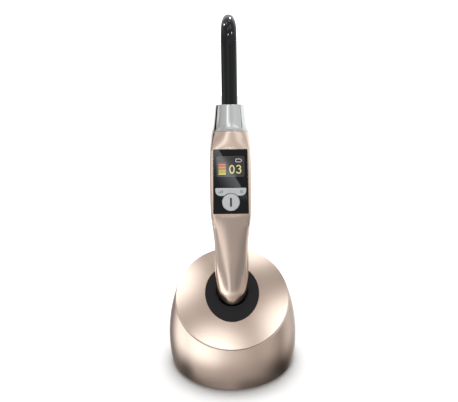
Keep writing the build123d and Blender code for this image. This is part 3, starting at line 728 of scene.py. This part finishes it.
stations = [
    (-10.0, 7.35, 7.35, 7.35, 5.197, 2.153, 0.64),
    (-5.0, 8.85, 8.85, 8.85, 6.258, 2.592, 0.64),
    (1.5, 10.3, 10.3, 10.3, 7.2, 2.6, 0.64),
    (16.5, 10.94, 10.75, 10.8, 7.7, 1.45, 0.65),
    (32.0, 11.05, 10.9, 10.95, 8.4, 0.9, 0.66),
    (43.0, 12.18, 11.65, 11.5, 9.4, 0.6, 0.7),
    (52.0, 13.15, 12.85, 12.4, 11.1, 0.2, 0.74),
    (76.1, 13.38, 12.85, 12.6, 11.0, 0.15, 0.75),
    (92.6, 12.78, 12.85, 12.6, 10.7, 0.15, 0.75),
    (95.4, 12.62, 12.8, 12.5, 10.1, 0.94, 0.72),
    (99.76, 12.3, 12.3, 12.2, 9.1, 2.17, 0.67),
    (104.2, 11.7, 11.7, 11.7, 8.273, 3.427, 0.64),
]
curve_steps = 14


def station_at(height):
    # Station at a height, on smooth curves through the known ones.
    index = 0
    while index < len(stations) - 2 and stations[index + 1][0] < height:
        index += 1
    low, high = stations[index], stations[index + 1]
    before = stations[max(index - 1, 0)]
    after = stations[min(index + 2, len(stations) - 1)]
    span = high[0] - low[0]
    part = (height - low[0]) / span
    result = []
    for a, b, c, d in zip(before[1:], low[1:], high[1:], after[1:]):
        leave = (c - a) / (high[0] - before[0]) * span
        arrive = (d - b) / (after[0] - low[0]) * span
        if (b - a) * (c - b) <= 0:
            leave = 0.0 if index else leave
        if (c - b) * (d - c) <= 0:
            arrive = 0.0 if index < len(stations) - 2 else arrive
        result.append((2 * part ** 3 - 3 * part ** 2 + 1) * b + (part ** 3 - 2 * part ** 2 + part) * leave
                      + (3 * part ** 2 - 2 * part ** 3) * c + (part ** 3 - part ** 2) * arrive)
    return result


def bezier(points, count):
    # Points of a cubic curve, without its last one.
    line = []
    for step in range(count):
        part = step / count
        level = [Vector(point) for point in points]
        while len(level) > 1:
            level = [a.lerp(b, part) for a, b in zip(level, level[1:])]
        line.append(level[0])
    return line


def body_outline(height, inset=0.0):
    # Cross-section of the body: a nearly flat front, two corners and a round back.
    # The front is cut off at the plane of the window.
    half_width, front, back, face, dip, corner = station_at(height)
    edge = Vector((face, dip - front))
    turn = 2 * math.atan(dip / face)
    peak = Vector((0, edge.y - face * math.tan(turn)))
    side = Vector((half_width, 0))
    meet = Vector((half_width, edge.y + (half_width - face) * math.tan(turn)))
    heel = Vector((half_width, back))
    rear = Vector((0, back))
    pull = (1 - (dip / face) ** 2) / 1.5
    round_back = 0.5523
    flip = Matrix.Scale(-1, 2, Vector((1, 0)))
    right = [edge, edge.lerp(meet, corner), side.lerp(meet, corner), side]
    lower = [side, side.lerp(heel, round_back), rear.lerp(heel, round_back), rear]
    face_curve = [flip @ edge, (flip @ edge).lerp(peak, pull), edge.lerp(peak, pull), edge]
    curves = [face_curve, right, lower, [flip @ p for p in reversed(lower)],
              [flip @ p for p in reversed(right)]]
    shrink = 1 - inset / half_width
    line = []
    for curve in curves:
        line += bezier(curve, curve_steps)
    return [Vector((p.x * shrink, max(p.y * shrink, -flat_front), height)) for p in line]


def body_bore(height, radius):
    # Ring of the bore, with as many points as an outline has.
    count = 5 * curve_steps
    start = -math.pi / 2 - math.tau / 10
    return [Vector((radius * math.cos(start + turn), radius * math.sin(start + turn), height))
            for turn in around(count)]


def quarter_arc(radius, steps):
    # Drop and inset of a rounded edge at even steps, from its side to its face.
    for step in range(steps + 1):
        turn = math.pi / 2 * step / steps
        yield radius * (1 - math.sin(turn)), radius * (1 - math.cos(turn))


body_step = 1.2
plain_top = body_top - 1.0
top_ease = 0.35
body_rows = []
height = body_low
while height < plain_top:
    body_rows.append(body_outline(height))
    height += body_step
for drop, inset in quarter_arc(top_ease, 4):
    body_rows.append(body_outline(body_top - drop, inset))

# Inside, from the top: the wide bore of the light engine and the boards, the bore
# of the cell and the narrow hole of the tail plug.

board_bore = 10.5
board_floor = 56.6
cell_bore = 9.45
cell_floor = 4.5
plug_bore = 6.4
for height, radius in ((body_top, board_bore), (board_floor, board_bore), (board_floor, cell_bore),
                       (cell_floor, cell_bore), (cell_floor, plug_bore), (body_low, plug_bore)):
    body_rows.append(body_bore(height, radius))
body_mesh = skin("handpiece_body", body_rows, place=socket)

window_low = 53.0
window_high = 93.1
window_half_low = 11.15
window_half_high = 10.55
window_ease = 0.6
window_gap = 0.12
pocket_floor = 11.45
opening_half = 9.85
opening_low = 53.9
opening_high = 92.2
opening_ease = 0.8
opening_depth = 1.0
face_frame = socket @ Matrix(((1, 0, 0, 0), (0, 0, -1, 0), (0, 1, 0, 0), (0, 0, 0, 1)))


def window_outline(gap=0.0):
    # The tapered window seen from the front, as points with their rounding.
    low = window_low - gap
    high = window_high + gap
    return [(Vector((-window_half_low - gap, low, 0)), window_ease),
            (Vector((window_half_low + gap, low, 0)), window_ease),
            (Vector((window_half_high + gap, high, 0)), window_ease),
            (Vector((-window_half_high - gap, high, 0)), window_ease)]


def box_corners(low_x, high_x, low_y, high_y, radius):
    # Corners of an upright box seen from the front, with their rounding.
    return [(Vector((x, y, 0)), radius)
            for x, y in ((low_x, low_y), (high_x, low_y), (high_x, high_y), (low_x, high_y))]


def prism(name, corners, low, high):
    # Closed prism over an outline on the front, between two depths.
    line = eased(corners)
    rows = [[point + Vector((0, 0, depth)) for point in line] for depth in (low, high)]
    return skin(name, rows, ring=False, place=face_frame, caps=True)


pocket = prism("pocket", window_outline(window_gap), pocket_floor, flat_front + 2)
opening_corners = box_corners(-opening_half, opening_half, opening_low, opening_high, opening_ease)
opening = prism("opening", opening_corners, opening_depth, flat_front)
drawn_gold = finish("rose_gold_drawn", gold_colour, 0.165, metallic=1.0, grain=0.001, grain_size=0.10,
                    fleck=0.02)
piece("handpiece_body", carve(body_mesh, pocket, opening), drawn_gold, "handpiece", "rose_gold",
      "body_shell")

# Tail: a moulded black plug with a gold middle contact and a gold ring round it,
# and above it the sprung steel contact, the lithium cell in its blue sleeve and
# the upper contact. All are CAD pieces that the body and the dock hide at rest.

dress(black_moulding, "tail_plug")
dress(gold, "tail_contacts", "cell_contact")
dress(steel, "cell_spring")
dress(finish("cell_sleeve", (0.02, 0.07, 0.25), 0.35, grain=0.002, grain_size=0.2), "battery_cell")

# Electronics: the green main board with its chips, buzzer and key switches, the
# silicone sheet between keys and switches, the moulded carrier behind the board
# and the screen module in front of it. They are CAD pieces behind the window.

chip_black = finish("chip_black", (0.02, 0.02, 0.02), 0.6, grain=0.01, grain_size=0.15)
dress(board_green, "main_board")
dress(chip_black, "board_chips", "buzzer")
dress(steel, "tact_switches")
dress(finish("white_silicone", (0.75, 0.75, 0.74), 0.6, grain=0.01, grain_size=0.3), "keypad_membrane")
dress(black_moulding, "chassis")
dress(finish("screen_module", (0.01, 0.01, 0.012), 0.08), "display_module")

# Light engine: a turned aluminium heat sink with grooves, the LED's metal-core
# board, the LED under its clear dome and the polished reflector cup.

aluminium = finish("turned_aluminium", (0.7, 0.71, 0.73), 0.35, metallic=1.0, grain=0.004, grain_size=0.1)
dress(aluminium, "heat_sink", "led_board")
dress(finish("led_dome", (0.85, 0.82, 0.55), 0.12), "led_emitter")
dress(finish("mirror_metal", (0.9, 0.9, 0.9), 0.05, metallic=1.0), "reflector")

# Window: a smoked acrylic panel, moulded with a cut-out for the button and the mode
# bar, set flush in the body's front with a hair-wide gap. What is lit behind it shows
# as thin shapes in its face: a dim field with level bars, two digits and a battery.

panel_thickness = 1.2
panel_bevel = 0.12
key_gap = 0.25
button_centre = 60.3
button_radius = 5.47
bar_low = 64.3
bar_high = 69.2
bar_half_width = 9.6
bar_ease = 3.2
bar_corner = 0.5
arc_steps = 40


def plate(name, outlines, thickness, bevel, front):
    # Flat plate with eased edges, cut from outlines, its face this far in front.
    curve = bpy.data.curves.new(name, "CURVE")
    curve.dimensions = "2D"
    curve.fill_mode = "BOTH"
    curve.extrude = (thickness / 2 - bevel) * mm
    curve.bevel_depth = bevel * mm
    curve.bevel_resolution = 3
    curve.offset = -bevel * mm
    for outline in outlines:
        spline = curve.splines.new("POLY")
        spline.points.add(len(outline) - 1)
        for knot, point in zip(spline.points, outline):
            knot.co = (point.x * mm, point.y * mm, 0, 1)
        spline.use_cyclic_u = True
    maker = bpy.data.objects.new(name, curve)
    mesh = bpy.data.meshes.new_from_object(maker)
    bpy.data.objects.remove(maker)
    welded(mesh, 0.0005 * mm)
    mesh.set_sharp_from_angle(angle=math.radians(50))
    flat_normal = 0.999
    for face in mesh.polygons:
        face.use_smooth = abs(face.normal.z) < flat_normal
    mesh.transform(metric(face_frame) @ Matrix.Translation((0, 0, (front - thickness / 2) * mm)))
    return mesh


def key_outline(cut_out):
    # Outline of the mode bar, which clears the button's upper side by the gap, or of
    # the cut-out that clears the bar and the button together.
    clearance = key_gap if cut_out else 0.0
    low = bar_low - clearance
    high = bar_high + clearance
    half = bar_half_width + clearance
    ring = button_radius + key_gap
    meet = math.asin((low - button_centre) / ring)
    corners = [(Vector((half, low, 0)), bar_ease + clearance), (Vector((half, high, 0)), bar_corner),
               (Vector((-half, high, 0)), bar_corner), (Vector((-half, low, 0)), bar_ease + clearance)]
    start = math.pi - meet
    sweep = math.pi + 2 * meet if cut_out else 2 * meet - math.pi
    arc = [start + sweep * step / arc_steps for step in range(arc_steps + 1)]
    return eased(corners + [(Vector((ring * math.cos(a), button_centre + ring * math.sin(a), 0)), 0)
                            for a in arc], steps=8)


smoked = finish("smoked_acrylic", (0.004, 0.004, 0.005), 0.015, Specular_IOR_Level=0.25)
window_lines = [eased(window_outline(), steps=8), key_outline(True)]
piece("window_glass", plate("window_glass", window_lines, panel_thickness, panel_bevel, flat_front), smoked,
      "handpiece", "smoked_window", "window_panel")


def lit(name, colour, strength):
    # Glossy dark face with light behind it that is a little uneven.
    material = bpy.data.materials.new(name)
    material.use_nodes = True
    shader = material.node_tree.nodes["Principled BSDF"]
    paint = Wire(material.node_tree)
    spot = paint.node("TexCoord", out="Object")
    grid = paint.node("TexNoise", None, {"Vector": spot, "Scale": 900.0, "Detail": 1.0})
    dim = [part * 0.8 for part in colour] + [1.0]
    full = list(colour) + [1.0]
    glow = paint.node("Mix", {"data_type": "RGBA"}, {0: grid, 6: dim, 7: full}, out=2)
    glow.feed(shader, "Emission Color")
    shader.inputs["Base Color"].default_value = (0.01, 0.01, 0.012, 1.0)
    shader.inputs["Roughness"].default_value = 0.06
    shader.inputs["Emission Strength"].default_value = strength
    return material


def ribbon(name, line, half_width, front, thickness=0.06, closed=False):
    # Flat band of even width along a line, laid on the front.
    rows = []
    sink = Vector((0, 0, thickness))
    count = len(line)
    for index, point in enumerate(line):
        before = line[index - 1] if index or closed else point
        after = line[(index + 1) % count] if index < count - 1 or closed else point
        along = (after - before).normalized()
        aside = Vector((-along.y, along.x, 0)) * half_width
        left = point + aside + Vector((0, 0, front))
        right = point - aside + Vector((0, 0, front))
        rows.append([left - sink, left, right, right - sink])
    return skin(name, rows, ring=closed, place=face_frame, caps=not closed)


def oval(x, y, half_width, half_height, start=0, end=360, count=40):
    # Points of an ellipse from one angle to another, in degrees.
    sweep = math.radians(end - start)
    points = count if end - start == 360 else count + 1
    angles = [math.radians(start) + sweep * step / count for step in range(points)]
    return [Vector((x + half_width * math.cos(a), y + half_height * math.sin(a), 0)) for a in angles]


screen_front = flat_front + 0.02
digit_half_stroke = 0.34
digit_yellow = lit("digit_yellow", (0.86, 0.80, 0.32), 0.95)
nought = oval(0.9, 80.75, 1.35, 2.35)
piece("digit_0", ribbon("digit_0", nought, digit_half_stroke, screen_front, closed=True), digit_yellow,
      "handpiece", "screen_glass")
three = oval(5.0, 82.05, 1.2, 1.05, 165, -90, 20) + oval(5.0, 79.7, 1.35, 1.3, 90, -165, 24)[1:]
piece("digit_3", ribbon("digit_3", three, digit_half_stroke, screen_front), digit_yellow, "handpiece",
      "screen_glass")

bar_colours = ((0.84, 0.80, 0.16), (0.55, 0.48, 0.03), (0.84, 0.56, 0.08), (0.50, 0.28, 0.01),
               (0.82, 0.33, 0.04), (0.60, 0.19, 0.02), (0.74, 0.20, 0.04), (0.20, 0.02, 0.01))
level_low = 77.9
level_pitch = 0.98
level_left = -7.4
level_right = -2.9
level_half_stroke = 0.39
for index, colour in enumerate(bar_colours):
    height = level_low + level_pitch * index
    line = [Vector((level_left, height, 0)), Vector((level_right, height, 0))]
    piece(f"level_bar_{index}", ribbon(f"level_bar_{index}", line, level_half_stroke, screen_front),
          lit(f"level_colour_{index}", colour, 0.9), "handpiece", "screen_glass")

white_light = lit("white_light", (0.85, 0.88, 0.88), 0.95)
battery_line = eased([(Vector((3.3, 85.3, 0)), 0.3), (Vector((6.2, 85.3, 0)), 0.2),
                      (Vector((7.1, 86.2, 0)), 0.1), (Vector((6.2, 87.1, 0)), 0.2),
                      (Vector((3.3, 87.1, 0)), 0.3)], steps=3)
piece("battery_mark", ribbon("battery_mark", battery_line, 0.15, screen_front, closed=True), white_light,
      "handpiece", "screen_glass")
screen_half = 8.4
screen_low = 76.3
screen_high = 88.7
screen_corners = box_corners(-screen_half, screen_half, screen_low, screen_high, 0.8)
edge_front = screen_front - 0.005
field_front = screen_front - 0.012
piece("screen_edge", ribbon("screen_edge", eased(screen_corners), 0.1, edge_front, closed=True),
      lit("screen_edge_light", (0.08, 0.08, 0.085), 0.8), "handpiece", "screen_glass")
piece("screen_field", prism("screen_field", screen_corners, flat_front - 0.05, field_front),
      lit("screen_field_light", (0.026, 0.022, 0.022), 0.8), "handpiece", "screen_glass")

# Keys: the round power button and the mode bar, both moulded and painted satin
# silver, a little proud of the window. The button carries an engraved upright slot
# filled with black, the bar a small printed mark near each end.

key_front = 13.3
button_back = 10.6
button_ease = 0.4
slot_half = 0.58
slot_reach = 2.8
slot_ease = 0.3
slot_depth = 0.25
fill_depth = 0.12
button_turns = 96
button_heart = 0.001

# The button is turned round a hole so fine that the weld closes it.

button_corners = [
    (Vector((button_heart, button_back, 0)), 0), (Vector((button_radius, button_back, 0)), 0),
    (Vector((button_radius, key_front, 0)), button_ease), (Vector((button_heart, key_front, 0)), 0)]
button_line = eased(button_corners, steps=5)
button_rows = [[Vector((p.x * math.cos(a), p.x * math.sin(a) + button_centre, p.y)) for p in button_line]
               for a in around(button_turns)]
button_mesh = skin("power_key", button_rows, place=face_frame)
slot_corners = box_corners(
    -slot_half, slot_half, button_centre - slot_reach, button_centre + slot_reach, slot_ease)
slot_floor = key_front - slot_depth
slot_tool = prism("slot_tool", slot_corners, slot_floor, key_front + 1)
silver = finish("silver_paint", (0.54, 0.54, 0.55), 0.38, metallic=0.5, grain=0.003, grain_size=0.12,
                fleck=0.05)
piece("power_key", carve(button_mesh, slot_tool), silver, "power_button", "silver_key", "power_button")
piece("power_key_mark", prism("power_key_mark", slot_corners, slot_floor - 0.01, key_front - fill_depth),
      finish("black_fill", (0.01, 0.01, 0.01), 0.4), "power_button", "silver_key")

bar_thickness = 2.1
bar_edge = 0.35
piece("mode_key", plate("mode_key", [key_outline(False)], bar_thickness, bar_edge, key_front), silver,
      "mode_rocker", "silver_key", "mode_rocker")

# The marks are printed: three rising strokes on the left, and a ring with two hands
# on the right.

print_teal = finish("teal_print", (0.03, 0.16, 0.2), 0.45, grain=0.001, grain_size=0.1)
mark_front = key_front + 0.01
print_depth = 0.04
level_x = -7.3
level_y = 66.0
for index, height in enumerate((0.9, 1.4, 1.9)):
    x = level_x + index
    line = [Vector((x, level_y, 0)), Vector((x, level_y + height, 0))]
    piece(f"level_mark_{index}", ribbon(f"level_mark_{index}", line, 0.26, mark_front, print_depth),
          print_teal, "mode_rocker", "silver_key")
clock = Vector((6.7, 66.95, 0))
clock_ring = oval(clock.x, clock.y, 0.8, 0.8)
piece("time_mark", ribbon("time_mark", clock_ring, 0.17, mark_front, print_depth, closed=True),
      print_teal, "mode_rocker", "silver_key")
hands = [clock + Vector((0, 0.45, 0)), clock, clock + Vector((0.35, -0.2, 0))]
piece("time_hand", ribbon("time_hand", hands, 0.1, mark_front, print_depth), print_teal, "mode_rocker",
      "silver_key")

# Nose: a turned and polished chrome cone. It flares out at its foot, where it meets
# the body in a fine line, and its rounded top holds the guide's mouth. A rubber ring
# below, a plastic bush and two more rings inside hold and seal the guide.


def lathe(name, corners, turns):
    # Turned shape on the handpiece's axis, from corners of (radius, height, rounding).
    line = eased([(Vector((radius, 0, height)), ease) for radius, height, ease in corners], steps=5)
    rows = [[Vector((p.x * math.cos(a), p.x * math.sin(a), p.z)) for p in line] for a in around(turns)]
    return skin(name, rows, place=socket)


nose_top = 120.5
nose_rim = 8.96
foot_radius = 11.7
foot_low = body_top + 0.02
nose_turns = 144
mouth_radius = 5.2
mouth_low = 119.5
bush_bore = 7.0
bush_low = 112.4
sink_bore = 8.45
spigot_radius = 10.35
spigot_low = 99.2

# The flank is given by radius and height, from the flared foot upwards.

nose_flank = [(11.55, 104.6), (11.3, 105.1), (11.05, 105.7), (10.82, 106.4), (10.62, 107.2), (10.43, 108.2),
              (10.24, 109.4), (10.05, 110.8), (9.86, 112.4), (9.66, 114.2), (9.44, 116.2), (9.2, 118.4)]
nose_corners = [(sink_bore, spigot_low, 0), (spigot_radius, spigot_low, 0), (spigot_radius, foot_low, 0),
                (foot_radius, foot_low, 0.05)]
nose_corners += [(radius, height, 0) for radius, height in nose_flank]
nose_corners += [(nose_rim, nose_top, 0.55), (mouth_radius, nose_top, 0.35), (mouth_radius, mouth_low, 0),
                 (bush_bore, mouth_low, 0), (bush_bore, bush_low, 0), (sink_bore, bush_low, 0)]
chrome = finish("polished_chrome", (0.66, 0.66, 0.66), 0.06, metallic=1.0)
piece("chrome_nose", lathe("chrome_nose", nose_corners, nose_turns), chrome, "handpiece", "chrome",
      "nose_cone")
dress(soft_black, "nose_seal", "guide_seals")
dress(ivory, "guide_bush")
dress(steel, "guide_ferrule")

# Light guide: a bundle of fused glass fibres in a glossy black coating, bent by 60
# degrees and slightly narrower at the tip, where the bare polished glass stands out.

guide_radius = 5.05
tip_radius = 4.0
coat = 0.6
guide_low = 112.5
sheath_low = 119.5
bend_start = 156.0
bend_radius = 18.0
bend_angle = 60.0
taper_start = 11.5
taper_end = 26.0
taper_power = 1.6
tip_length = 7.0
tip_bare = 1.6
guide_step = 0.5
guide_turns = 72


def guide_ring(distance, inset):
    # Ring of the guide at a distance along its middle line, from the bend's start.
    arc = bend_radius * math.radians(bend_angle)
    along = min(max(distance, 0.0), arc)
    turn = along / bend_radius
    centre = Vector((0, bend_radius * (1 - math.cos(turn)), bend_start + bend_radius * math.sin(turn)))
    axis = Vector((0, math.sin(turn), math.cos(turn)))
    centre += axis * (distance - along)
    part = min(max((distance - taper_start) / (taper_end - taper_start), 0.0), 1.0)
    radius = share(guide_radius, tip_radius, part ** taper_power) - inset
    side = Vector((1, 0, 0))
    up = axis.cross(side)
    return [centre + (side * math.cos(a) + up * math.sin(a)) * radius for a in around(guide_turns)]


bend_length = bend_radius * math.radians(bend_angle)
sheath_start = sheath_low - bend_start
sheath_end = bend_length + tip_length
sheath_ease = 0.5
plain_end = sheath_end - sheath_ease - guide_step
sheath_rows = []
distance = sheath_start
while distance < plain_end:
    sheath_rows.append(guide_ring(distance, 0))
    distance += guide_step
for drop, inset in quarter_arc(sheath_ease, 4):
    sheath_rows.append(guide_ring(sheath_end - drop, inset))

# Inside, the coat's rows follow the bend back to its foot.

sheath_rows += [guide_ring(sheath_end - step, coat) for step in range(int(sheath_end) + 1)]
sheath_rows += [guide_ring(0.0, coat), guide_ring(sheath_start, coat)]
black_coat = finish("black_coating", (0.004, 0.004, 0.005), 0.06, Specular_IOR_Level=0.23)
piece("guide_coat", skin("guide_coat", sheath_rows, place=socket), black_coat, "guide", "black_glass",
      "guide_sheath")

# The glass ends in a rounded edge, and rings on its flat face keep the shading flat.

glass_end = sheath_end + tip_bare
glass_ease = 0.6
face_radii = (2.2, 1.6, 1.0, 0.605)
glass_rows = [guide_ring(distance, coat) for distance in (guide_low - bend_start, 0.0)]
glass_rows += [guide_ring(step, coat) for step in range(1, int(glass_end - 1))]
for drop, inset in quarter_arc(glass_ease, 5):
    glass_rows.append(guide_ring(glass_end - drop, coat + inset))
for radius in face_radii:
    glass_rows.append(guide_ring(glass_end, tip_radius - radius))
fibre_glass = finish("fibre_glass", (0.02, 0.021, 0.023), 0.1, grain=0.002, grain_size=0.08, fleck=0.2,
                     Specular_IOR_Level=0.3)
piece("glass_tip", skin("glass_tip", glass_rows, ring=False, place=socket, caps=True), fibre_glass, "guide",
      "clear_glass", "light_guide")
